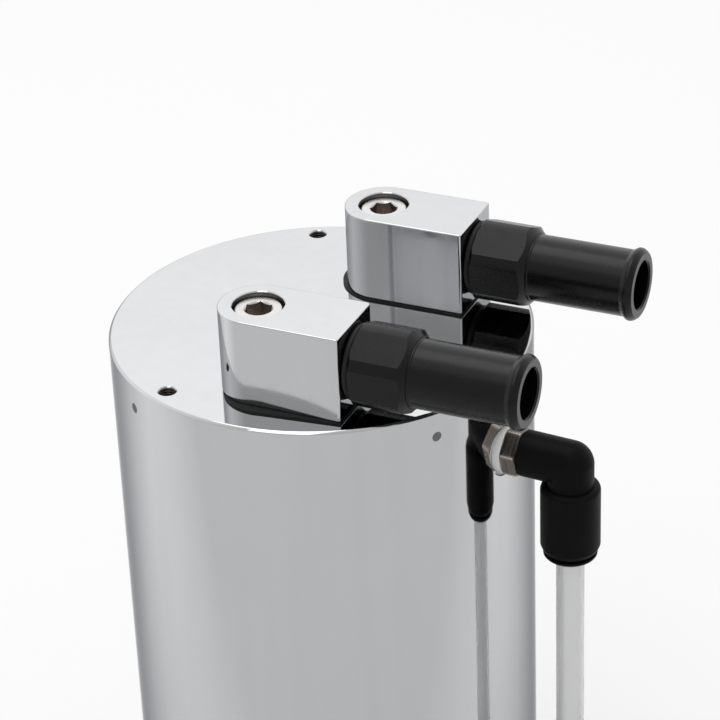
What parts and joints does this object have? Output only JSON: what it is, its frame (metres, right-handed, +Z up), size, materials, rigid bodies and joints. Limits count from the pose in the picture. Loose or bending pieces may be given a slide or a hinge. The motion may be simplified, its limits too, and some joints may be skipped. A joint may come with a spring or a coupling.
{
  "type": "oil catch can",
  "caption": "Round polished oil catch can with swivelling hose ports on top, a clear level tube on its side and a drain plug in its removable base.",
  "frame": {"origin": "can's axis at the bottom face of the base plate", "axes": "+Z up along the can's axis, +X the way both hose ports point at rest, +Y from the inlet to the outlet"},
  "size_m": [0.1469, 0.12, 0.2156],
  "materials": {
    "polished_aluminium": "mirror polished",
    "black_anodised": "black anodised",
    "steel": "satin",
    "rubber": "matte",
    "black_plastic": "fine satin",
    "nickel": "nickel plated",
    "white_seal": "smooth",
    "clear_tube": "clear",
    "copper": "plain copper",
    "plain_aluminium": "plain"
  },
  "bodies": {
    "can": {"can_body": "polished_aluminium", "base_plate": "polished_aluminium", "base_seal": "rubber", "base_screws": "steel", "drain_plug": "steel", "drain_washer": "copper", "inlet_washer": "rubber", "inlet_bolt": "steel", "outlet_washer": "rubber", "outlet_bolt": "steel", "upper_adapter": "nickel", "upper_seal_ring": "white_seal", "upper_elbow": "black_plastic", "upper_tube_seal": "rubber", "upper_grip_ring": "steel", "lower_adapter": "nickel", "lower_seal_ring": "white_seal", "lower_elbow": "black_plastic", "lower_tube_seal": "rubber", "lower_grip_ring": "steel", "gauge_tube": "clear_tube", "baffle_plate": "plain_aluminium", "baffle_standoffs": "plain_aluminium", "baffle_screws": "steel", "dip_tube": "plain_aluminium"},
    "inlet_port": {"inlet_block": "polished_aluminium", "inlet_gasket": "rubber", "inlet_barb": "black_anodised", "inlet_barb_seal": "rubber"},
    "outlet_port": {"outlet_block": "polished_aluminium", "outlet_gasket": "rubber", "outlet_barb": "black_anodised", "outlet_barb_seal": "rubber"},
    "upper_ring": {"upper_release_ring": "black_plastic"},
    "lower_ring": {"lower_release_ring": "black_plastic"}
  },
  "joints": [
    {"name": "inlet_swivel", "type": "hinge", "parent": "can", "child": "inlet_port", "pos_m": [0, -0.038, 0.2036], "axis": [0, 0, 1], "range_deg": [-165, 15]},
    {"name": "outlet_swivel", "type": "hinge", "parent": "can", "child": "outlet_port", "pos_m": [0.008, 0.028, 0.2036], "axis": [0, 0, 1], "range_deg": [-15, 165]},
    {"name": "upper_release", "type": "slide", "parent": "can", "child": "upper_ring", "axis": [0, 0, 1], "range_m": [0, 0.0009], "stiffness_N_per_m": 1500, "springref_m": -0.0006},
    {"name": "lower_release", "type": "slide", "parent": "can", "child": "lower_ring", "axis": [0, 0, -1], "range_m": [0, 0.0009], "stiffness_N_per_m": 1500, "springref_m": -0.0006}
  ]
}
